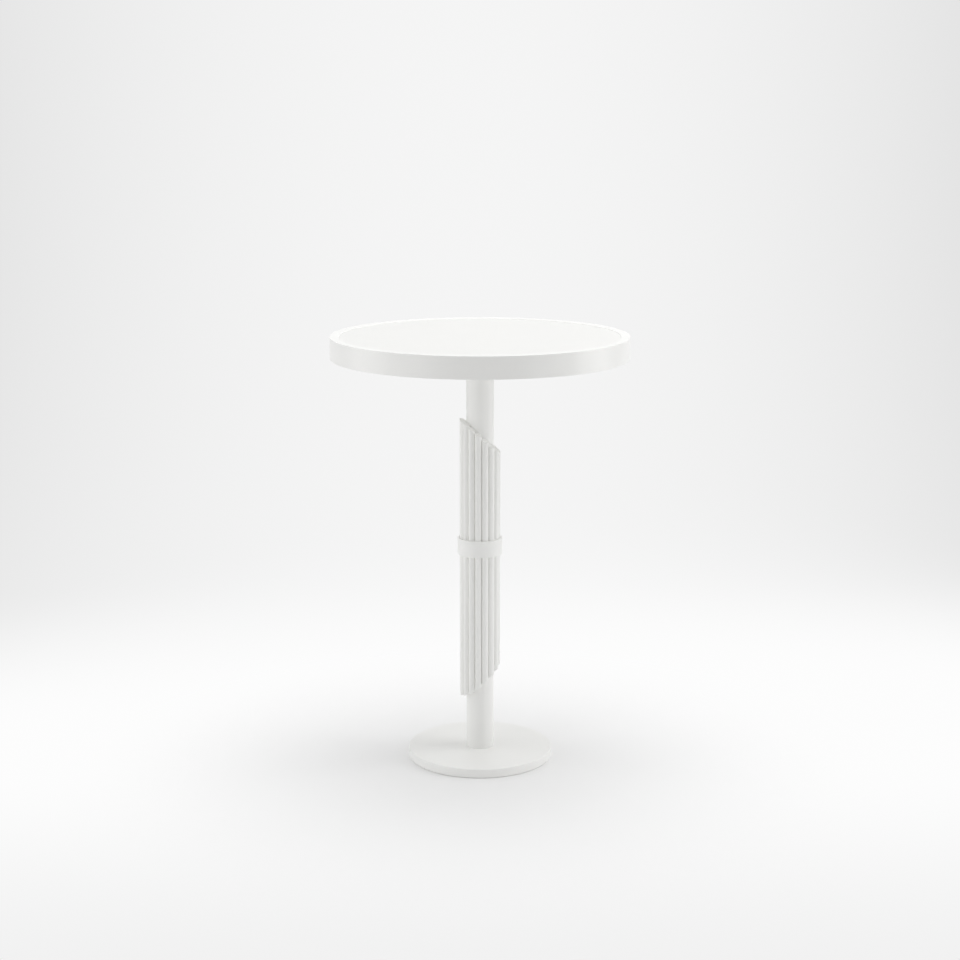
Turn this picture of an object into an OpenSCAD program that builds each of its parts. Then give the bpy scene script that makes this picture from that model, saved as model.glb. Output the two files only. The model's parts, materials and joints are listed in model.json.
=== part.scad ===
// Round bar table: a framed round top on one column, with a bundle of upright tubes
// round the column. The tubes end on two slopes and are held together by one band.
// The origin is at the centre of the footprint on the floor, +Z is up, and -Y is the front.

/* [Table] */
// Height from the floor to the top of the rim
table_h = 1100; // [1000:5:1200]
// Play between pieces that slide together
fit_gap = 0.3; // [0.1:0.05:0.5]

/* [Tabletop] */
// Outer diameter of the rim
top_d = 750; // [600:10:900]
// Width of the rim seen from above
rim_w = 24; // [18:1:35]
// How far the rim reaches below its ledge
rim_drop = 11; // [5:1:25]
// Rounding of the rim's edges
rim_round = 0.75; // [0.25:0.25:3]
// Rounding of the rim's upper inner edge, above the panel
rim_in_round = 3; // [0.5:0.5:5]
// How far the rim's inner ledge reaches under the core board
ledge_w = 15; // [12:1:25]
// Thickness of the ledge
ledge_t = 6; // [4:1:8]
// How far the panel lies below the top of the rim
panel_recess = 2; // [0.5:0.5:4]
// Thickness of the inset panel
panel_t = 8; // [6:1:12]
// Play between the panel and the rim
panel_play = 0.1; // [0.1:0.05:0.5]
// Rounding of the panel's upper edge
panel_round = 0.3; // [0.1:0.1:1]
// Thickness of the core board
core_t = 28; // [26:1:30]
// Number of screws that hold the ledge to the core board
rim_screw_count = 12; // [6:1:16]

/* [Mounting plate] */
// Diameter of the plate that carries the top
plate_d = 280; // [220:10:340]
// Thickness of the plate
plate_t = 6; // [5:1:8]
// Height of the spigot that the plate puts into the column
spigot_h = 30; // [15:1:60]
// Number of screws through the plate
plate_screw_count = 6; // [4:1:8]
// Distance of the plate's screws from its edge
plate_screw_edge = 25; // [15:1:35]

/* [Column] */
// Outer diameter of the column tube
column_d = 70; // [66:1:80]
// Wall of the column tube
column_wall = 3; // [2:0.5:5]
// Height of the plug in the foot of the column
plug_h = 24; // [15:1:60]
// Depth of the plug's seat in the base
plug_seat = 2; // [1:0.5:4]
// Diameter of the tie rod
tie_d = 12; // [10:1:14]

/* [Tube bundle] */
// Outer diameter of one tube
tube_d = 16.8; // [12:0.1:17.5]
// Wall of one tube
tube_wall = 1.5; // [1:0.25:3]
// Play between the tubes, and between a tube and the column
tube_play = 0.1; // [0.1:0.05:0.5]
// How far the bundle is turned from the front
bundle_turn = -5.5; // [-11:0.5:11]
// Height of the slope of the upper tube ends at the column's axis
top_line_z = 845.5; // [800:0.5:870]
// Tilt of that slope from level
top_line_tilt = 42; // [0:0.5:50]
// Direction that it falls to, from +X towards +Y
top_line_turn = 8; // [-180:1:180]
// Tilt of each tube's own upper end from level
top_end_tilt = 30; // [0:1:45]
// Direction that each upper end falls to, from +X towards +Y
top_end_turn = -40; // [-180:1:180]
// Height of the slope of the lower tube ends at the column's axis
low_line_z = 206; // [190:0.5:260]
// Tilt of that slope from level
low_line_tilt = 41; // [0:0.5:50]
// Direction that it rises to, from +X towards +Y
low_line_turn = 15; // [-180:1:180]
// Tilt of each tube's own lower end from level
low_end_tilt = 30; // [0:1:45]
// Direction that each lower end rises to, from +X towards +Y
low_end_turn = 0; // [-180:1:180]
// Length of the caps in the tubes' ends, at the tubes' axes
cap_h = 8; // [6:1:12]
// How far the caps lie below the tubes' ends
cap_sink = 0.5; // [0.25:0.25:2]
// Diameter of the pins that locate the tubes
pin_d = 4; // [3:0.5:5]

/* [Band] */
// Height of the band
band_h = 42; // [20:1:70]
// Wall of the band
band_wall = 4; // [3:0.5:6]
// Thickness of the soft liner between the band and the outermost line of the tubes
liner_t = 1; // [0.5:0.25:2]
// Height of the band's middle above the floor
band_z = 561; // [400:1:680]
// Rounding of the band's outer edges
band_round = 1; // [0.5:0.25:1.5]
// Diameter of the band's grub screws
grub_d = 5; // [4:1:6]

/* [Base] */
// Diameter of the base disc
base_d = 370; // [340:5:500]
// Thickness of the base disc
base_t = 23; // [20:0.5:30]
// Rounding of the base disc's upper edge
base_round = 2; // [0.5:0.5:4]
// Bevel of the base disc's lower edge
base_bevel = 1.5; // [0.5:0.25:3]
// Thickness of the pad under the base disc
pad_t = 1; // [1:0.5:4]
// How far the pad stays back from the base disc's edge
pad_inset = 3; // [2:1:15]

/* [Hidden] */
$fn = 96;
// Overrun of a cutting shape past the face that it opens
over = 1;
// Play round a pin, bolt or screw in its own hole
pin_fit = 0.05;
// Steps in a rounded edge
round_steps = 6;

// Levels of the top, from the rim down to the column
panel_top_z = table_h - panel_recess;
core_top_z = panel_top_z - panel_t;
core_z = core_top_z - core_t;
ledge_z = core_z - ledge_t;
plate_z = core_z - plate_t;
rim_z = ledge_z - rim_drop;
rim_r = top_d / 2;
rim_in_r = rim_r - rim_w;
ledge_r = rim_in_r - ledge_w;
core_r = rim_in_r - fit_gap;
panel_r = rim_in_r - panel_play;

// Levels of the foot
base_top_z = pad_t + base_t;
plug_z = base_top_z - plug_seat;

// Column
column_r = column_d / 2;
column_in_r = column_r - column_wall;
spigot_r = column_in_r - fit_gap;
tie_hole_r = tie_d / 2 + fit_gap;

// Tie rod fittings, in the usual proportions to the rod
nut_flats = 1.5 * tie_d;
nut_h = 0.9 * tie_d;
washer_r = tie_d;
washer_t = 0.2 * tie_d;
// Room round the washer for a socket, and the pad's clearance round that pocket
socket_room = 3;
pad_hole_room = 5;
pocket_r = washer_r + socket_room;
pad_hole_r = pocket_r + pad_hole_room;
end_play = 0.5;
nut_stack = washer_t + nut_h + end_play;
foot_pocket_top_z = pad_t + nut_stack;
tie_low_z = pad_t;
tie_high_z = core_z + nut_stack;

// Tube bundle
tube_count = 16;
tube_step = 360 / tube_count;
tube_r = tube_d / 2;
ring_r = max(column_r + tube_play + tube_r, (tube_r + tube_play) / sin(tube_step / 2));
bundle_r = ring_r + tube_r;
bore_r = tube_r - tube_wall;
pin_room = 20;
upper_pin_z = top_line_z - bundle_r * tan(top_line_tilt) - pin_room;
lower_pin_z = low_line_z + bundle_r * tan(low_line_tilt) + pin_room;
pin_reach = 3;
pin_in_r = column_in_r - pin_reach;
pin_out_r = ring_r - tube_r + tube_wall + pin_reach;
// How much longer a tube is made before its ends are cut
cut_room = tube_d;
cut_size = 4 * tube_d;

// Band
liner_r = bundle_r + fit_gap;
band_in_r = liner_r + liner_t;
band_r = band_in_r + band_wall;
band_low_z = band_z - band_h / 2;
band_high_z = band_z + band_h / 2;
grub_tubes = [7, 9];
grub_sink = 0.5;
grub_out_r = band_r - grub_sink;

// Screws: diameter, head diameter, head height, length under the head,
// and the width and depth of the hexagon socket
rim_screw = [4, 8, 2.5, 20, 2.9, 1.6];
rim_screw_r = rim_in_r - ledge_w / 2;
plate_screw = [6, 12, 3, 15, 4.6, 2.4];
plate_screw_r = plate_d / 2 - plate_screw_edge;
insert_d = 9;
insert_h = 12;
insert_room = 4;

// Points of a quarter-turn or other arc
function arc(centre, r, from, to) =
    [for (i = [0:round_steps]) let (a = from + (to - from) * i / round_steps)
        centre + r * [cos(a), sin(a)]];

// Repeats its child round the Z axis
module round_pattern(count, turn = 0) {
    for (i = [0:count - 1])
        rotate([0, 0, turn + 360 / count * i]) children();
}

// Pan-head screw standing upwards, its head under z = 0
module pan_screw(s) {
    head_r = s[1] / 2;
    head_round = s[2] / 2;
    cylinder(d = s[0], h = s[3]);
    difference() {
        rotate_extrude()
            polygon(concat([[0, 0], [0, -s[2]]],
                arc([head_r - head_round, -head_round], head_round, -90, 0),
                [[head_r, 0]]));
        translate([0, 0, -s[2] - over]) cylinder(d = s[4], h = s[5] + over, $fn = 6);
    }
}

// Countersunk screw standing upwards, its head flush at z = 0
module flat_screw(s) {
    difference() {
        union() {
            cylinder(d = s[0], h = s[2] + s[3]);
            cylinder(d1 = s[1], d2 = s[0], h = s[2]);
        }
        translate([0, 0, -over]) cylinder(d = s[4], h = s[5] + over, $fn = 6);
    }
}

module rim_ring() {
    color("white")
    difference() {
        rotate_extrude() polygon(concat(
            arc([rim_r - rim_round, rim_z + rim_round], rim_round, -90, 0),
            arc([rim_r - rim_round, table_h - rim_round], rim_round, 0, 90),
            arc([rim_in_r + rim_in_round, table_h - rim_in_round], rim_in_round, 90, 180),
            [[rim_in_r, core_z], [ledge_r, core_z], [ledge_r, ledge_z], [rim_in_r, ledge_z]],
            arc([rim_in_r + rim_round, rim_z + rim_round], rim_round, 180, 270)));
        translate([0, 0, ledge_z - over])
            round_pattern(rim_screw_count)
                translate([rim_screw_r, 0, 0])
                    cylinder(d = rim_screw[0] + 2 * pin_fit, h = ledge_t + 2 * over);
    }
}

module top_panel() {
    color("whitesmoke")
    rotate_extrude() polygon(concat(
        [[0, core_top_z], [panel_r, core_top_z]],
        arc([panel_r - panel_round, panel_top_z - panel_round], panel_round, 0, 90),
        [[0, panel_top_z]]));
}

module core_board() {
    color("gainsboro")
    difference() {
        translate([0, 0, core_z]) cylinder(r = core_r, h = core_t);
        translate([0, 0, core_z - over]) {
            cylinder(r = pocket_r, h = nut_stack + over + end_play);
            round_pattern(plate_screw_count)
                translate([plate_screw_r, 0, 0])
                    cylinder(d = insert_d + 2 * pin_fit, h = insert_h + insert_room + over);
            round_pattern(rim_screw_count)
                translate([rim_screw_r, 0, 0])
                    cylinder(d = rim_screw[0] + 2 * pin_fit, h = rim_screw[3] - ledge_t + over + end_play);
        }
    }
}

module rim_screws() {
    color("silver")
    translate([0, 0, ledge_z])
        round_pattern(rim_screw_count)
            translate([rim_screw_r, 0, 0]) pan_screw(rim_screw);
}

module mounting_plate() {
    color("white")
    difference() {
        union() {
            translate([0, 0, plate_z]) cylinder(d = plate_d, h = plate_t);
            translate([0, 0, plate_z - spigot_h]) cylinder(r = spigot_r, h = spigot_h + over);
        }
        translate([0, 0, plate_z - spigot_h - over])
            cylinder(r = tie_hole_r, h = spigot_h + plate_t + 2 * over);
        translate([0, 0, plate_z])
            round_pattern(plate_screw_count)
                translate([plate_screw_r, 0, 0]) {
                    cylinder(d = plate_screw[0] + 2 * pin_fit, h = plate_t + over);
                    cylinder(d1 = plate_screw[1] + 2 * pin_fit, d2 = plate_screw[0] + 2 * pin_fit,
                        h = plate_screw[2]);
                    translate([0, 0, -over]) cylinder(d = plate_screw[1] + 2 * pin_fit, h = over);
                }
    }
}

module threaded_inserts() {
    color("goldenrod")
    translate([0, 0, core_z])
        round_pattern(plate_screw_count)
            translate([plate_screw_r, 0, 0])
                difference() {
                    cylinder(d = insert_d, h = insert_h);
                    translate([0, 0, -over])
                        cylinder(d = plate_screw[0] + 2 * pin_fit, h = insert_h + 2 * over);
                }
}

module plate_screws() {
    color("silver")
    translate([0, 0, plate_z])
        round_pattern(plate_screw_count)
            translate([plate_screw_r, 0, 0]) flat_screw(plate_screw);
}

module column_tube() {
    color("white")
    difference() {
        translate([0, 0, base_top_z]) cylinder(r = column_r, h = plate_z - base_top_z);
        translate([0, 0, base_top_z - over])
            cylinder(r = column_in_r, h = plate_z - base_top_z + 2 * over);
        for (z = [lower_pin_z, upper_pin_z])
            round_pattern(tube_count, bundle_turn)
                translate([0, -column_r - over, z])
                    rotate([-90, 0, 0])
                        cylinder(d = pin_d + 2 * pin_fit, h = column_wall + 2 * over);
    }
}

module foot_plug() {
    color("dimgray")
    translate([0, 0, plug_z])
        difference() {
            cylinder(r = spigot_r, h = plug_h);
            translate([0, 0, -over]) cylinder(r = tie_hole_r, h = plug_h + 2 * over);
        }
}

module tie_rod() {
    color("silver")
    translate([0, 0, tie_low_z]) cylinder(d = tie_d, h = tie_high_z - tie_low_z);
}

module tie_nut() {
    difference() {
        cylinder(d = nut_flats / cos(30), h = nut_h, $fn = 6);
        translate([0, 0, -over]) cylinder(d = tie_d + 2 * pin_fit, h = nut_h + 2 * over);
    }
}

module tie_nuts() {
    color("silver") {
        translate([0, 0, pad_t + end_play]) tie_nut();
        translate([0, 0, core_z + washer_t]) tie_nut();
    }
}

module tie_washer() {
    difference() {
        cylinder(r = washer_r, h = washer_t);
        translate([0, 0, -over]) cylinder(r = tie_hole_r, h = washer_t + 2 * over);
    }
}

module tie_washers() {
    color("silver") {
        translate([0, 0, foot_pocket_top_z - washer_t]) tie_washer();
        translate([0, 0, core_z]) tie_washer();
    }
}

module base_disc() {
    base_r = base_d / 2;
    color("white")
    difference() {
        rotate_extrude() polygon(concat(
            [[0, pad_t], [base_r - base_bevel, pad_t], [base_r, pad_t + base_bevel]],
            arc([base_r - base_round, base_top_z - base_round], base_round, 0, 90),
            [[0, base_top_z]]));
        translate([0, 0, pad_t - over]) {
            cylinder(r = tie_hole_r, h = base_t + 2 * over);
            cylinder(r = pocket_r, h = nut_stack + over);
        }
        translate([0, 0, plug_z]) cylinder(r = column_in_r, h = plug_seat + over);
    }
}

module floor_pad() {
    color("gainsboro")
    difference() {
        cylinder(r = base_d / 2 - pad_inset, h = pad_t);
        translate([0, 0, -over]) cylinder(r = pad_hole_r, h = pad_t + 2 * over);
    }
}

// Radial holes or shanks for the band's grub screws
module grub_pattern(d, from_r, to_r) {
    for (k = grub_tubes)
        rotate([0, 0, bundle_turn + tube_step * k])
            translate([0, -to_r, band_z])
                rotate([-90, 0, 0]) cylinder(d = d, h = to_r - from_r);
}

module band_ring() {
    color("white")
    difference() {
        rotate_extrude() polygon(concat(
            [[band_in_r, band_low_z]],
            arc([band_r - band_round, band_low_z + band_round], band_round, -90, 0),
            arc([band_r - band_round, band_high_z - band_round], band_round, 0, 90),
            [[band_in_r, band_high_z]]));
        grub_pattern(grub_d + 2 * pin_fit, bundle_r, band_r + over);
    }
}

// Liner with a rib in each groove between two tubes
module band_liner() {
    color("gainsboro")
    difference() {
        translate([0, 0, band_low_z])
            difference() {
                cylinder(r = band_in_r, h = band_h);
                translate([0, 0, -over]) {
                    cylinder(r = ring_r, h = band_h + 2 * over);
                    for (k = [0:tube_count - 1])
                        at_tube(k) cylinder(r = tube_r + fit_gap, h = band_h + 2 * over);
                }
            }
        grub_pattern(grub_d + 2 * pin_fit, bundle_r, band_r + over);
    }
}

module band_grub_screws() {
    color("silver")
    difference() {
        grub_pattern(grub_d, bundle_r + pin_fit, grub_out_r);
        for (k = grub_tubes)
            rotate([0, 0, bundle_turn + tube_step * k])
                translate([0, -grub_out_r - over, band_z])
                    rotate([-90, 0, 0]) cylinder(d = grub_d / 2, h = over + grub_d / 2, $fn = 6);
    }
}

module tube_pins(z) {
    color("silver")
    round_pattern(tube_count, bundle_turn)
        translate([0, -pin_out_r, z])
            rotate([-90, 0, 0]) cylinder(d = pin_d, h = pin_out_r - pin_in_r);
}

// Turn of a tube round the column, counted from the front towards +X
function tube_turn(k) = bundle_turn + tube_step * k;

// How far a slope falls from the column's axis to a tube's axis
function fall(k, tilt, turn) = ring_r * tan(tilt) * sin(tube_turn(k) - turn);

// Heights of a tube's ends at its axis
function top_z(k) = top_line_z - fall(k, top_line_tilt, top_line_turn);
function low_z(k) = low_line_z + fall(k, low_line_tilt, low_line_turn);

// Puts its children on a tube's axis, without turning them
module at_tube(k) {
    translate([ring_r * sin(tube_turn(k)), -ring_r * cos(tube_turn(k)), 0]) children();
}

// Everything above a tube's upper end, on the tube's axis
module above_end(k, sink = 0) {
    translate([0, 0, top_z(k) - sink])
        rotate([0, 0, top_end_turn])
            rotate([0, top_end_tilt, 0])
                translate([-cut_size / 2, -cut_size / 2, 0]) cube(cut_size);
}

// Everything below a tube's lower end, on the tube's axis
module below_end(k, sink = 0) {
    translate([0, 0, low_z(k) + sink])
        rotate([0, 0, low_end_turn])
            rotate([0, -low_end_tilt, 0])
                translate([-cut_size / 2, -cut_size / 2, -cut_size]) cube(cut_size);
}

// One tube of the bundle
module bundle_tube(k) {
    uncut_z = low_z(k) - cut_room;
    uncut_h = top_z(k) - low_z(k) + 2 * cut_room;
    color("white")
    at_tube(k)
        difference() {
            translate([0, 0, uncut_z]) cylinder(r = tube_r, h = uncut_h);
            translate([0, 0, uncut_z - over]) cylinder(r = bore_r, h = uncut_h + 2 * over);
            for (z = [lower_pin_z, upper_pin_z])
                translate([0, 0, z])
                    rotate([-90, 0, tube_turn(k)]) cylinder(d = pin_d + 2 * pin_fit, h = tube_d);
            above_end(k);
            below_end(k);
        }
}

// Caps pressed into the upper ends of the tubes
module upper_tube_caps() {
    color("white")
    for (k = [0:tube_count - 1])
        at_tube(k)
            difference() {
                translate([0, 0, top_z(k) - cap_h]) cylinder(r = bore_r, h = cap_h + cut_room);
                above_end(k, cap_sink);
            }
}

// Caps pressed into the lower ends of the tubes
module lower_tube_caps() {
    color("white")
    for (k = [0:tube_count - 1])
        at_tube(k)
            difference() {
                translate([0, 0, low_z(k) - cut_room]) cylinder(r = bore_r, h = cap_h + cut_room);
                below_end(k, cap_sink);
            }
}

rim_ring();
top_panel();
core_board();
rim_screws();
mounting_plate();
threaded_inserts();
plate_screws();
column_tube();
foot_plug();
tie_rod();
tie_nuts();
tie_washers();
base_disc();
floor_pad();
band_ring();
band_liner();
band_grub_screws();
tube_pins(upper_pin_z);  // upper_tube_pins
tube_pins(lower_pin_z);  // lower_tube_pins
upper_tube_caps();
lower_tube_caps();
bundle_tube(0);  // tube_01
bundle_tube(1);  // tube_02
bundle_tube(2);  // tube_03
bundle_tube(3);  // tube_04
bundle_tube(4);  // tube_05
bundle_tube(5);  // tube_06
bundle_tube(6);  // tube_07
bundle_tube(7);  // tube_08
bundle_tube(8);  // tube_09
bundle_tube(9);  // tube_10
bundle_tube(10);  // tube_11
bundle_tube(11);  // tube_12
bundle_tube(12);  // tube_13
bundle_tube(13);  // tube_14
bundle_tube(14);  // tube_15
bundle_tube(15);  // tube_16
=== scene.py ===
"""A round bar table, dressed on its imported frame: a framed round top on one column,
a bundle of slant-cut tubes that one band holds round the column, and a flat round base.
All sizes are in metres, +Z is up, and -Y is the front."""

import json
import math

import bpy
import numpy as np
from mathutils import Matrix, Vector


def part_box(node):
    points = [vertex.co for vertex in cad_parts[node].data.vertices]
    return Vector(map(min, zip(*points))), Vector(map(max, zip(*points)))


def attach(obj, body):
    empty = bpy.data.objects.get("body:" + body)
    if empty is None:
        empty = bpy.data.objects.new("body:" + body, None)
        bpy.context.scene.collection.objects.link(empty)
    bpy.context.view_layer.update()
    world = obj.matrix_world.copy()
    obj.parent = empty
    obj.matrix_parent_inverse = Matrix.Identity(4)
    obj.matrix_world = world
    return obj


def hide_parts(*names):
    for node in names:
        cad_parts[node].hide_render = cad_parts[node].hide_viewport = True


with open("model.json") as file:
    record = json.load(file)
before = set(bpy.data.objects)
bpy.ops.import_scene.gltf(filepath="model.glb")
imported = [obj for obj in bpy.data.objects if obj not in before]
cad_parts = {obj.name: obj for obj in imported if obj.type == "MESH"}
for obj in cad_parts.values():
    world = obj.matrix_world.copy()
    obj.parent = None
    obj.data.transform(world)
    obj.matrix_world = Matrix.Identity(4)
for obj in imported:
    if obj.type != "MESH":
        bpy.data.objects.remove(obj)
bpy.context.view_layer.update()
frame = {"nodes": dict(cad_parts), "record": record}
nodes = frame["nodes"]

# Camera of the photograph's view: in front, a little above the top, looking slightly down
CAMERA_PLACE = Vector((0.0, -4.6948, 1.7146))
CAMERA_LENS_MM = 70.88
SENSOR_MM = 36.0
CAMERA_DOWN = math.radians(11.84)

# Tubes of the bundle: wall, radius of the softened edges at the ends, sides of the circle and
# steps of an edge. Each tube grows out of a low ring, whose height is given in edge radii.
TUBE_WALL = 0.0015
TUBE_EDGE = 0.0003
TUBE_SIDES = 64
EDGE_STEPS = 2
LOW_RING_HEIGHT = 4.0

# A face of the frame's tubes is an end face where its normal points up or down this much
END_FACE_SLOPE = 0.5

# Paper sweep behind and under the table
SWEEP_HALF_WIDTH = 9.0
SWEEP_FRONT_Y = -9.0
SWEEP_BACK_Y = 3.2
SWEEP_CURVE = 1.6
SWEEP_TOP_Z = 6.0
SWEEP_STEPS = 32
PAPER_WHITE = 0.91
PAPER_ROUGHNESS = 0.9
PAPER_SPECULAR = 0.1

# Painted light on the paper, which the camera sees away from the table's shadow: the tones of
# lit paper, painted, on the floor near the camera, where they are darker, on the floor round the
# table, and on the wall. Between two of them stand the depths over which one turns into the next.
NEAR_TONE = 0.876
NEAR_ENDS_Y = -1.4
FLOOR_STARTS_Y = -0.1
FLOOR_TONE = 0.978
FLOOR_ENDS_Y = 0.7
WALL_STARTS_Y = 2.4
WALL_TONE = 0.91

# Wall: it comes nearer by SIDE_CURVE * x * (x - CURVE_END_X), and its painted light darkens with
# the square of the distance from its brightest line, as painted shade
SIDE_CURVE = 0.18
CURVE_END_X = 1.0
BRIGHTEST_X = -0.05
WALL_FALLOFF = 0.032

# Edges of the photograph's frame on the paper, and the width over which the tones beyond
# them fade into the surround
WALL_SEEN_X = 2.1
NEAR_SEEN_Y = -1.7
FADE_WIDTH = 2.2

# Distances from a point on the floor between which the real shadow turns into the painted light
SHADOW_CENTRE = Vector((0.0, -0.15, 0.0))
SHADOW_INNER = 0.1
SHADOW_OUTER = 1.06

# Lamps: place, what it is aimed at, width and height, and power in watts
TABLE_FOOT = Vector((0.0, 0.0, 0.0))
TABLE_WAIST = Vector((0.0, 0.0, 0.7))
LAMPS = {
    "lamp_over": (Vector((0.0, 0.0, 4.2)), TABLE_FOOT, 2.6, 2.6, 42.0),
    "lamp_high_left": (Vector((-2.6, 0.0, 3.6)), TABLE_WAIST, 2.5, 3.0, 11.0),
    "lamp_high_right": (Vector((2.6, 0.0, 3.6)), TABLE_WAIST, 2.5, 3.0, 32.7),
    "lamp_side_left": (Vector((-3.6, 0.0, 1.4)), TABLE_WAIST, 2.4, 2.6, 20.1),
    "lamp_side_right": (Vector((3.6, 0.0, 1.4)), TABLE_WAIST, 2.4, 2.6, 28.5),
    "lamp_front_left": (Vector((-3.0, -3.0, 2.0)), TABLE_WAIST, 2.0, 2.6, 17.8),
}
SURROUND = 0.46
LIGHT_BOUNCES = 16

# Pale coats: level of grey, size and height of the fine peel, smoothest and roughest value,
# and weight of a clear layer on top
COATS = {
    "white_lacquer": (0.94, 0.003, 0.00001, 0.32, 0.36, 0.2),
    "white_laminate": (0.855, 0.0006, 0.00001, 0.45, 0.52, 0.0),
    "white_powder_coat": (0.927, 0.0012, 0.000012, 0.34, 0.42, 0.0),
    "backing_board": (0.74, 0.0008, 0.00004, 0.6, 0.7, 0.0),
    "white_liner": (0.9, 0.0005, 0.00002, 0.6, 0.75, 0.0),
    "soft_pad": (0.7, 0.0005, 0.00004, 0.7, 0.85, 0.0),
}
DARKER_SHARE = 0.985
BLUE_SHARE = 0.98
CLEAR_ROUGHNESS = 0.12

# Metals: light and dark colour, smoothest and roughest value
METALS = {
    "zinc_steel": ((0.68, 0.70, 0.72, 1.0), (0.55, 0.57, 0.60, 1.0), 0.25, 0.4),
    "brass": ((0.83, 0.66, 0.32, 1.0), (0.70, 0.52, 0.22, 1.0), 0.25, 0.4),
}
TURNED_LINE_HEIGHT = 0.00002

# Noise: its detail where it is fine and where it drifts slowly, and the span of its values
# that a drift of tone uses
FINE_DETAIL = 2.0
DRIFT_DETAIL = 3.0
DRIFT_LOW = 0.3
DRIFT_HIGH = 0.7

# Sockets of a Mix node that mixes colours
MIX_FACTOR, MIX_FIRST, MIX_SECOND, MIX_RESULT = 0, 6, 7, 2


# Building blocks of the node trees

def tree_input(tree, name, kind, value=None):
    """Gives a tree a named input, with the value that it starts from."""
    socket = tree.interface.new_socket(name, in_out="INPUT", socket_type="NodeSocket" + kind)
    if value is not None:
        socket.default_value = value


def tree_output(tree, name, kind):
    """Gives a tree a named output."""
    tree.interface.new_socket(name, in_out="OUTPUT", socket_type="NodeSocket" + kind)


def add(tree, kind, inputs=(), **settings):
    """Adds a node, makes its settings, and fills or links the inputs that are named."""
    node = tree.nodes.new(kind)
    for name, value in settings.items():
        setattr(node, name, value)
    for key, value in dict(inputs).items():
        if isinstance(value, bpy.types.NodeSocket):
            tree.links.new(value, node.inputs[key])
        else:
            node.inputs[key].default_value = value
    return node


def calculate(tree, operation, *values):
    """Adds a Math node on up to three values and returns its result."""
    return add(tree, "ShaderNodeMath", enumerate(values), operation=operation).outputs[0]


def remap(tree, value, start=0.0, end=1.0, low=0.0, high=1.0, kind="LINEAR"):
    """Adds a Map Range node, which turns start into low and end into high, and returns its
    result."""
    return add(tree, "ShaderNodeMapRange", {
        "Value": value, "From Min": start, "From Max": end, "To Min": low, "To Max": high,
    }, interpolation_type=kind).outputs[0]


def noise(tree, place, size, detail):
    """Adds noise with patches of about the given size and returns its value."""
    return add(tree, "ShaderNodeTexNoise", {
        "Vector": place,
        "Scale": calculate(tree, "DIVIDE", 1.0, size),
        "Detail": detail,
    }).outputs[0]


# Camera, lamps and surround

def make_camera():
    """Puts up the camera."""
    data = bpy.data.cameras.new("camera")
    data.lens = CAMERA_LENS_MM
    data.sensor_width = SENSOR_MM
    camera = bpy.data.objects.new("camera", data)
    camera.location = CAMERA_PLACE
    camera.rotation_euler = (math.pi / 2 - CAMERA_DOWN, 0.0, 0.0)
    bpy.context.scene.collection.objects.link(camera)
    bpy.context.scene.camera = camera


def make_lamp(name, place, aim, width, height, power):
    """Hangs one soft box and turns it towards its aim."""
    data = bpy.data.lights.new(name, "AREA")
    data.shape = "RECTANGLE"
    data.size = width
    data.size_y = height
    data.energy = power
    lamp = bpy.data.objects.new(name, data)
    lamp.location = place
    lamp.rotation_euler = (aim - place).to_track_quat("-Z", "Y").to_euler()
    bpy.context.scene.collection.objects.link(lamp)


def make_surround():
    """Fills the room with even, neutral light."""
    world = bpy.data.worlds.new("surround")
    world.use_nodes = True
    background = world.node_tree.nodes["Background"]
    background.inputs["Color"].default_value = (1.0, 1.0, 1.0, 1.0)
    background.inputs["Strength"].default_value = SURROUND
    bpy.context.scene.world = world


# Paper

def painted_paper_light(tree, place):
    """Works out the painted light at a place on the paper: the tones of lit paper, darker near
    the camera and away from the wall's brightest line, which fade into the surround beyond the
    photograph's frame."""
    parts = add(tree, "ShaderNodeSeparateXYZ", {0: place}).outputs
    sideways, depth = parts[0], parts[1]
    across = add(tree, "ShaderNodeClamp", {
        "Value": sideways, "Min": -WALL_SEEN_X, "Max": WALL_SEEN_X,
    }).outputs[0]
    floor_tone = remap(tree, depth, NEAR_ENDS_Y, FLOOR_STARTS_Y, NEAR_TONE, FLOOR_TONE,
                       "SMOOTHSTEP")
    curve = calculate(tree, "MULTIPLY", across,
                      calculate(tree, "SUBTRACT", across, CURVE_END_X))
    wall_share = remap(tree, calculate(tree, "MULTIPLY_ADD", curve, SIDE_CURVE, depth),
                       FLOOR_ENDS_Y, WALL_STARTS_Y, kind="SMOOTHSTEP")
    # Painted shade: the wall's painted light gets darker away from its brightest line
    aside = calculate(tree, "SUBTRACT", across, BRIGHTEST_X)
    falloff = calculate(tree, "MULTIPLY", calculate(tree, "MULTIPLY", aside, aside), WALL_FALLOFF)
    wall_tone = calculate(tree, "SUBTRACT", WALL_TONE, falloff)
    painted_paper_tone = remap(tree, wall_share, low=floor_tone, high=wall_tone)
    past_sides = calculate(tree, "SUBTRACT", calculate(tree, "ABSOLUTE", sideways), WALL_SEEN_X)
    past_front = calculate(tree, "SUBTRACT", NEAR_SEEN_Y, depth)
    return remap(tree, calculate(tree, "MAXIMUM", past_sides, past_front),
                 0.0, FADE_WIDTH, painted_paper_tone, SURROUND, "SMOOTHSTEP")


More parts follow.
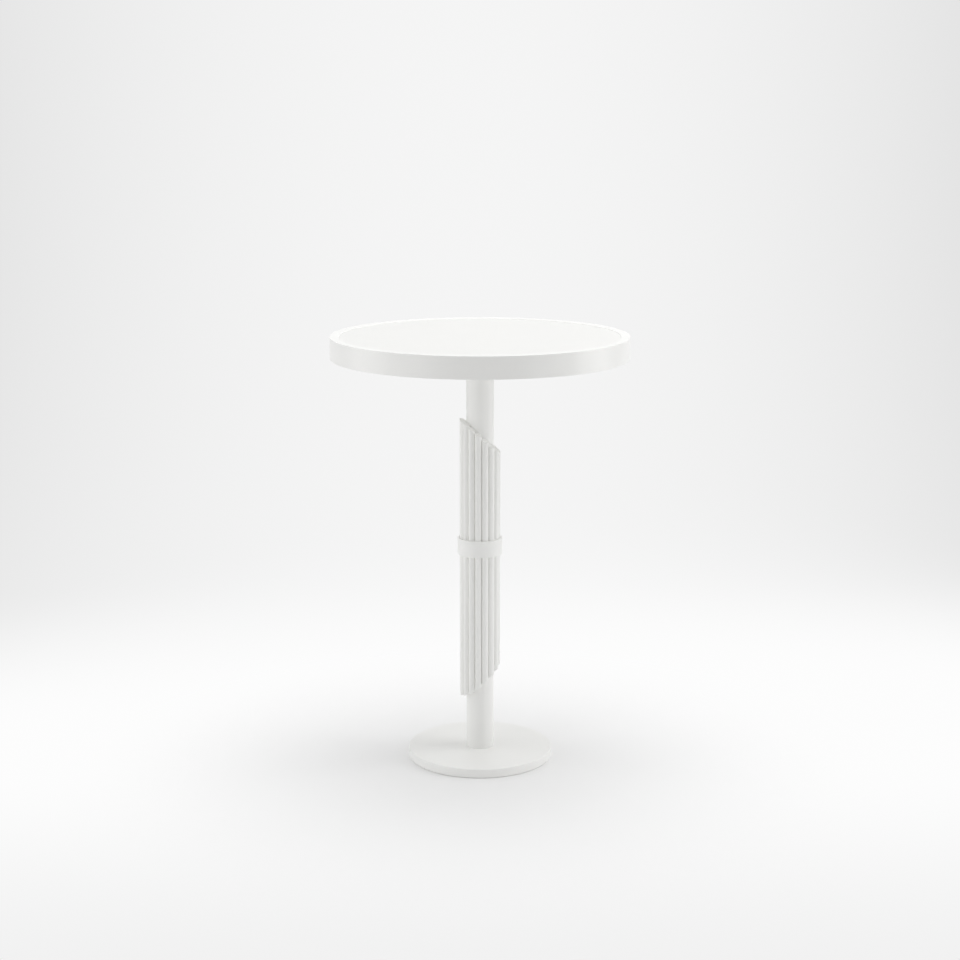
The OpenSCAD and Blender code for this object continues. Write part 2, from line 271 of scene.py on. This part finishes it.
def make_paper():
    """Matt white paper that takes the table's shadow. Away from the shadow, the camera and the
    reflections see painted light in its place: emission with the tones of lit paper, which sheds
    no light on the table. From below, the paper is clear, so that the table's underside shows."""
    material, tree, shader = new_finish("paper")
    shader.inputs["Base Color"].default_value = grey(PAPER_WHITE, blue_share=1.0)
    shader.inputs["Roughness"].default_value = PAPER_ROUGHNESS
    shader.inputs["Specular IOR Level"].default_value = PAPER_SPECULAR
    place = add(tree, "ShaderNodeTexCoord").outputs["Object"]
    tone = painted_paper_light(tree, place)
    # Painted light: the tones of lit paper given off as emission that the camera and reflections
    # see
    painted_light_glow = add(tree, "ShaderNodeEmission", {
        "Color": add(tree, "ShaderNodeCombineColor", {0: tone, 1: tone, 2: tone}).outputs[0],
    })
    reach = add(tree, "ShaderNodeVectorMath", {0: place, 1: SHADOW_CENTRE},
                operation="DISTANCE").outputs["Value"]
    away = remap(tree, reach, SHADOW_INNER, SHADOW_OUTER, kind="SMOOTHSTEP")
    ray = add(tree, "ShaderNodeLightPath").outputs
    seen = calculate(tree, "MAXIMUM", ray["Is Camera Ray"],
                     calculate(tree, "MAXIMUM", ray["Is Glossy Ray"],
                               ray["Is Transmission Ray"]))
    from_above = add(tree, "ShaderNodeMixShader", {
        0: calculate(tree, "MULTIPLY", seen, away),
        1: shader.outputs[0],
        2: painted_light_glow.outputs[0],
    })
    is_below = calculate(tree, "MULTIPLY", ray["Is Camera Ray"],
                         add(tree, "ShaderNodeNewGeometry").outputs["Backfacing"])
    surface = add(tree, "ShaderNodeMixShader", {
        0: is_below,
        1: from_above.outputs[0],
        2: add(tree, "ShaderNodeBsdfTransparent").outputs[0],
    })
    tree.links.new(surface.outputs[0], tree.nodes["Material Output"].inputs["Surface"])
    return material


def make_sweep(finish):
    """Lays out the paper: it runs under the table, curves up behind it and hangs as a wall."""
    section = [(SWEEP_FRONT_Y, 0.0)]
    for step in range(SWEEP_STEPS + 1):
        turn = math.pi / 2 * step / SWEEP_STEPS
        section.append((SWEEP_BACK_Y - SWEEP_CURVE * (1 - math.sin(turn)),
                        SWEEP_CURVE * (1 - math.cos(turn))))
    section.append((SWEEP_BACK_Y, SWEEP_TOP_Z))
    points = [(x, y, z) for y, z in section for x in (-SWEEP_HALF_WIDTH, SWEEP_HALF_WIDTH)]
    faces = [(k, k + 1, k + 3, k + 2) for k in range(0, len(points) - 2, 2)]
    mesh = bpy.data.meshes.new("sweep")
    mesh.from_pydata(points, [], faces)
    mesh.materials.append(finish)
    mesh.shade_smooth()
    sweep = bpy.data.objects.new("sweep", mesh)
    bpy.context.scene.collection.objects.link(sweep)


# Shader groups, each used by more than one finish

def make_coat_texture():
    """The fine peel of a sprayed or baked coat, and a slow drift over the whole piece."""
    group = bpy.data.node_groups.new("coat_texture", "ShaderNodeTree")
    tree_input(group, "Peel Size", "Float", 0.001)
    tree_input(group, "Drift Size", "Float", 0.12)
    tree_output(group, "Peel", "Float")
    tree_output(group, "Drift", "Float")
    given = add(group, "NodeGroupInput").outputs
    place = add(group, "ShaderNodeTexCoord").outputs["Object"]
    add(group, "NodeGroupOutput", {
        "Peel": noise(group, place, given["Peel Size"], FINE_DETAIL),
        "Drift": noise(group, place, given["Drift Size"], DRIFT_DETAIL),
    })
    return group


def make_tone():
    """A colour and a roughness that drift a little between two ends."""
    group = bpy.data.node_groups.new("tone", "ShaderNodeTree")
    tree_input(group, "Drift", "Float", 0.5)
    tree_input(group, "Light Colour", "Color")
    tree_input(group, "Dark Colour", "Color")
    tree_input(group, "Smoothest", "Float", 0.3)
    tree_input(group, "Roughest", "Float", 0.4)
    tree_output(group, "Colour", "Color")
    tree_output(group, "Roughness", "Float")
    given = add(group, "NodeGroupInput").outputs
    spread = remap(group, given["Drift"], DRIFT_LOW, DRIFT_HIGH)
    colour = add(group, "ShaderNodeMix", {
        MIX_FACTOR: spread,
        MIX_FIRST: given["Dark Colour"],
        MIX_SECOND: given["Light Colour"],
    }, data_type="RGBA").outputs[MIX_RESULT]
    rough = remap(group, spread, low=given["Smoothest"], high=given["Roughest"])
    add(group, "NodeGroupOutput", {"Colour": colour, "Roughness": rough})
    return group


def make_turned_lines():
    """Fine lines round the Z axis, as a lathe or a roller leaves them on metal."""
    group = bpy.data.node_groups.new("turned_lines", "ShaderNodeTree")
    tree_input(group, "Line Size", "Float", 0.0005)
    tree_output(group, "Lines", "Float")
    given = add(group, "NodeGroupInput").outputs
    place = add(group, "ShaderNodeTexCoord").outputs["Object"]
    parts = add(group, "ShaderNodeSeparateXYZ", {0: place}).outputs
    reach = add(group, "ShaderNodeVectorMath", {
        0: add(group, "ShaderNodeCombineXYZ", {0: parts[0], 1: parts[1]}).outputs[0],
    }, operation="LENGTH").outputs["Value"]
    turned = add(group, "ShaderNodeCombineXYZ", {0: reach, 2: parts[2]}).outputs[0]
    add(group, "NodeGroupOutput", {
        "Lines": noise(group, turned, given["Line Size"], FINE_DETAIL),
    })
    return group


# Finishes

def new_finish(name):
    """Starts a material and returns it with its tree and its shader."""
    material = bpy.data.materials.new(name)
    material.use_nodes = True
    tree = material.node_tree
    return material, tree, tree.nodes["Principled BSDF"]


def grey(level, blue_share=BLUE_SHARE):
    """A near-white or grey whose blue is a little weaker."""
    return (level, level, level * blue_share, 1.0)


def wire_finish(tree, shader, drift, relief, relief_height, light, dark, smooth, rough):
    """Gives a shader a colour and a roughness that follow the drift, and bump that follows
    the relief."""
    tone = add(tree, "ShaderNodeGroup", node_tree=TONE)
    tree.links.new(drift, tone.inputs["Drift"])
    tone.inputs["Light Colour"].default_value = light
    tone.inputs["Dark Colour"].default_value = dark
    tone.inputs["Smoothest"].default_value = smooth
    tone.inputs["Roughest"].default_value = rough
    bump = add(tree, "ShaderNodeBump", {
        "Height": relief,
        "Distance": relief_height,
        "Strength": 1.0,
    })
    tree.links.new(tone.outputs["Colour"], shader.inputs["Base Color"])
    tree.links.new(tone.outputs["Roughness"], shader.inputs["Roughness"])
    tree.links.new(bump.outputs[0], shader.inputs["Normal"])


def coated(name, level, peel_size, peel_height, smooth, rough, clear):
    """A pale coat with fine peel, from its row in COATS."""
    material, tree, shader = new_finish(name)
    texture = add(tree, "ShaderNodeGroup", node_tree=COAT_TEXTURE)
    texture.inputs["Peel Size"].default_value = peel_size
    wire_finish(tree, shader, texture.outputs["Drift"], texture.outputs["Peel"], peel_height,
                grey(level), grey(level * DARKER_SHARE), smooth, rough)
    shader.inputs["Coat Weight"].default_value = clear
    shader.inputs["Coat Roughness"].default_value = CLEAR_ROUGHNESS
    return material


def turned_metal(name, light, dark, smooth, rough):
    """Bare or plated metal with fine turned lines, from its row in METALS."""
    material, tree, shader = new_finish(name)
    lines = add(tree, "ShaderNodeGroup", node_tree=TURNED_LINES).outputs["Lines"]
    wire_finish(tree, shader, lines, lines, TURNED_LINE_HEIGHT, light, dark, smooth, rough)
    shader.inputs["Metallic"].default_value = 1.0
    return material


# The bundle of tubes

def fit_plane(points):
    """The plane through the points as its height on the Z axis and its rise along X and Y."""
    places = np.array(points)
    table = np.column_stack([np.ones(len(places)), places[:, :2]])
    height, rise_x, rise_y = np.linalg.lstsq(table, places[:, 2], rcond=None)[0]
    return float(height), Vector((float(rise_x), float(rise_y), 0.0))


def measure_ends(names, is_end):
    """Reads the end faces of the frame's tubes: the plane that the ends step along, at the
    tubes' axes, and the rise of each tube's own end."""
    steps = []
    own_rise = Vector()
    for name in names:
        mesh = nodes[name].data
        height, rise = fit_plane([mesh.vertices[corner].co for face in mesh.polygons
                                  if is_end(face) for corner in face.vertices])
        low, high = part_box(name)
        axis = (low + high) / 2
        steps.append((axis.x, axis.y, height + rise.x * axis.x + rise.y * axis.y))
        own_rise += rise / len(names)
    line_height, line_rise = fit_plane(steps)
    return line_height, line_rise, own_rise


def measure_bundle(names):
    """Reads the bundle's sizes off the frame's tubes: the ring's radius and turn, a tube's
    radius, and the lie of the ends beyond the pins."""
    low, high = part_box(names[0])
    centre = (low + high) / 2
    pins_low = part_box("lower_tube_pins")[0].z
    pins_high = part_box("upper_tube_pins")[1].z
    low_line, low_line_rise, low_rise = measure_ends(
        names, lambda face: face.center.z < pins_low and face.normal.z < -END_FACE_SLOPE)
    top_line, top_line_rise, top_rise = measure_ends(
        names, lambda face: face.center.z > pins_high and face.normal.z > END_FACE_SLOPE)
    return {
        "Ring Radius": centre.to_2d().length,
        "Turn": math.atan2(centre.y, centre.x),
        "Tube Radius": (high.x - low.x) / 2,
        "Low Line Height": low_line,
        "Low Line Rise": low_line_rise,
        "Low End Rise": low_rise,
        "Top Line Height": top_line,
        "Top Line Rise": top_line_rise,
        "Top End Rise": top_rise,
    }


def make_bundle_tree():
    """Tubes round a ring with softened edges, whose ends step along two slopes.
    Each tube starts as a low ring of the wall's section. Then its upper half goes up to its
    top end and its lower half down to its low end. An end's height at the tube's axis lies on
    the line's slope, and from there the end has a rise of its own."""
    tree = bpy.data.node_groups.new("tube_bundle", "GeometryNodeTree")
    tree_input(tree, "Count", "Int", 16)
    for name in ("Turn", "Ring Radius", "Tube Radius", "Wall", "Edge"):
        tree_input(tree, name, "Float")
    tree_input(tree, "Sides", "Int", TUBE_SIDES)
    tree_input(tree, "Edge Steps", "Int", EDGE_STEPS)
    for name in ("Low Line Height", "Top Line Height"):
        tree_input(tree, name, "Float")
    for name in ("Low Line Rise", "Low End Rise", "Top Line Rise", "Top End Rise"):
        tree_input(tree, name, "Vector")
    tree_input(tree, "Finish", "Material")
    tree_output(tree, "Geometry", "Geometry")
    given = add(tree, "NodeGroupInput").outputs

    ring = add(tree, "GeometryNodeCurvePrimitiveCircle", {
        "Resolution": given["Count"],
        "Radius": given["Ring Radius"],
    })
    turned_ring = add(tree, "GeometryNodeTransform", {
        "Geometry": ring.outputs["Curve"],
        "Rotation": add(tree, "ShaderNodeCombineXYZ", {2: given["Turn"]}).outputs[0],
    })
    half_wall = calculate(tree, "MULTIPLY", given["Wall"], 0.5)
    start_height = calculate(tree, "MULTIPLY", given["Edge"], LOW_RING_HEIGHT)
    half_start = calculate(tree, "MULTIPLY", start_height, 0.5)
    wall_line = add(tree, "GeometryNodeCurvePrimitiveCircle", {
        "Resolution": given["Sides"],
        "Radius": calculate(tree, "SUBTRACT", given["Tube Radius"], half_wall),
    })
    wall_section = add(tree, "GeometryNodeCurvePrimitiveQuadrilateral", {
        "Width": given["Wall"],
        "Height": start_height,
    })
    soft_section = add(tree, "GeometryNodeFilletCurve", {
        "Curve": wall_section.outputs["Curve"],
        "Count": given["Edge Steps"],
        "Radius": given["Edge"],
        "Limit Radius": True,
    }, mode="POLY")
    low_ring = add(tree, "GeometryNodeCurveToMesh", {
        "Curve": wall_line.outputs["Curve"],
        "Profile Curve": soft_section.outputs["Curve"],
    })
    place = add(tree, "GeometryNodeInputPosition").outputs[0]
    axes = add(tree, "GeometryNodeCaptureAttribute")
    axes.capture_items.new("VECTOR", "Axis")
    tree.links.new(turned_ring.outputs["Geometry"], axes.inputs["Geometry"])
    tree.links.new(place, axes.inputs["Axis"])
    tubes = add(tree, "GeometryNodeInstanceOnPoints", {
        "Points": axes.outputs["Geometry"],
        "Instance": low_ring.outputs["Mesh"],
    })
    real = add(tree, "GeometryNodeRealizeInstances", {"Geometry": tubes.outputs["Instances"]})

    level = add(tree, "ShaderNodeSeparateXYZ", {0: place}).outputs[2]
    from_axis = add(tree, "ShaderNodeVectorMath", {0: place, 1: axes.outputs["Axis"]},
                    operation="SUBTRACT").outputs[0]

    def end_height(end):
        """The height at the point of the low or the top end."""
        along_line = add(tree, "ShaderNodeVectorMath", {
            0: axes.outputs["Axis"], 1: given[end + " Line Rise"],
        }, operation="DOT_PRODUCT").outputs["Value"]
        across_end = add(tree, "ShaderNodeVectorMath", {
            0: from_axis, 1: given[end + " End Rise"],
        }, operation="DOT_PRODUCT").outputs["Value"]
        return calculate(tree, "ADD", given[end + " Line Height"],
                         calculate(tree, "ADD", along_line, across_end))

    top_shift = calculate(tree, "SUBTRACT", end_height("Top"), half_start)
    foot_shift = calculate(tree, "ADD", end_height("Low"), half_start)
    is_upper = calculate(tree, "GREATER_THAN", level, 0.0)
    shift = calculate(tree, "ADD",
                      calculate(tree, "MULTIPLY", is_upper, top_shift),
                      calculate(tree, "MULTIPLY",
                                calculate(tree, "SUBTRACT", 1.0, is_upper), foot_shift))
    stretched = add(tree, "GeometryNodeSetPosition", {
        "Geometry": real.outputs["Geometry"],
        "Offset": add(tree, "ShaderNodeCombineXYZ", {2: shift}).outputs[0],
    })
    smooth = add(tree, "GeometryNodeSetShadeSmooth", {"Geometry": stretched.outputs["Geometry"]})
    finished = add(tree, "GeometryNodeSetMaterial", {
        "Geometry": smooth.outputs["Geometry"],
        "Material": given["Finish"],
    })
    add(tree, "NodeGroupOutput", {"Geometry": finished.outputs["Geometry"]})
    return tree


def grow_mesh(name, tree, values):
    """Runs a geometry tree with the values given by input name, and returns the result as an
    object with a plain mesh."""
    seed = bpy.data.objects.new(name + "_seed", bpy.data.meshes.new(name + "_seed"))
    bpy.context.scene.collection.objects.link(seed)
    modifier = seed.modifiers.new("grow", "NODES")
    modifier.node_group = tree
    for socket in tree.interface.items_tree:
        if socket.in_out == "INPUT" and socket.name in values:
            modifier[socket.identifier] = values[socket.name]
    depsgraph = bpy.context.evaluated_depsgraph_get()
    mesh = bpy.data.meshes.new_from_object(seed.evaluated_get(depsgraph), depsgraph=depsgraph)
    mesh.name = name
    bpy.data.objects.remove(seed)
    piece = bpy.data.objects.new(name, mesh)
    bpy.context.scene.collection.objects.link(piece)
    return piece


def make_bundle(finish):
    """Makes all the tubes of the bundle in place of the frame's sharp-edged ones."""
    names = sorted(name for name in nodes if name.startswith("tube_"))
    bundle = grow_mesh("tube_bundle", make_bundle_tree(), {
        **measure_bundle(names),
        "Count": len(names),
        "Wall": TUBE_WALL,
        "Edge": TUBE_EDGE,
        "Sides": TUBE_SIDES,
        "Edge Steps": EDGE_STEPS,
        "Finish": finish,
    })
    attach(bundle, "root")
    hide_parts(*names)


# Putting it together

COAT_TEXTURE = make_coat_texture()
TONE = make_tone()
TURNED_LINES = make_turned_lines()

finishes = {name: coated(name, *row) for name, row in COATS.items()}
finishes.update({name: turned_metal(name, *row) for name, row in METALS.items()})

for part in frame["record"]["subparts"]:
    for material_slot in nodes[part["node"]].material_slots:
        material_slot.material = finishes[part["material_slot"]]

make_bundle(finishes["white_powder_coat"])
make_camera()
make_surround()
for lamp_name, lamp_values in LAMPS.items():
    make_lamp(lamp_name, *lamp_values)
make_sweep(make_paper())
bpy.context.scene.view_settings.view_transform = "Standard"
bpy.context.scene.cycles.max_bounces = LIGHT_BOUNCES
bpy.context.scene.cycles.diffuse_bounces = LIGHT_BOUNCES
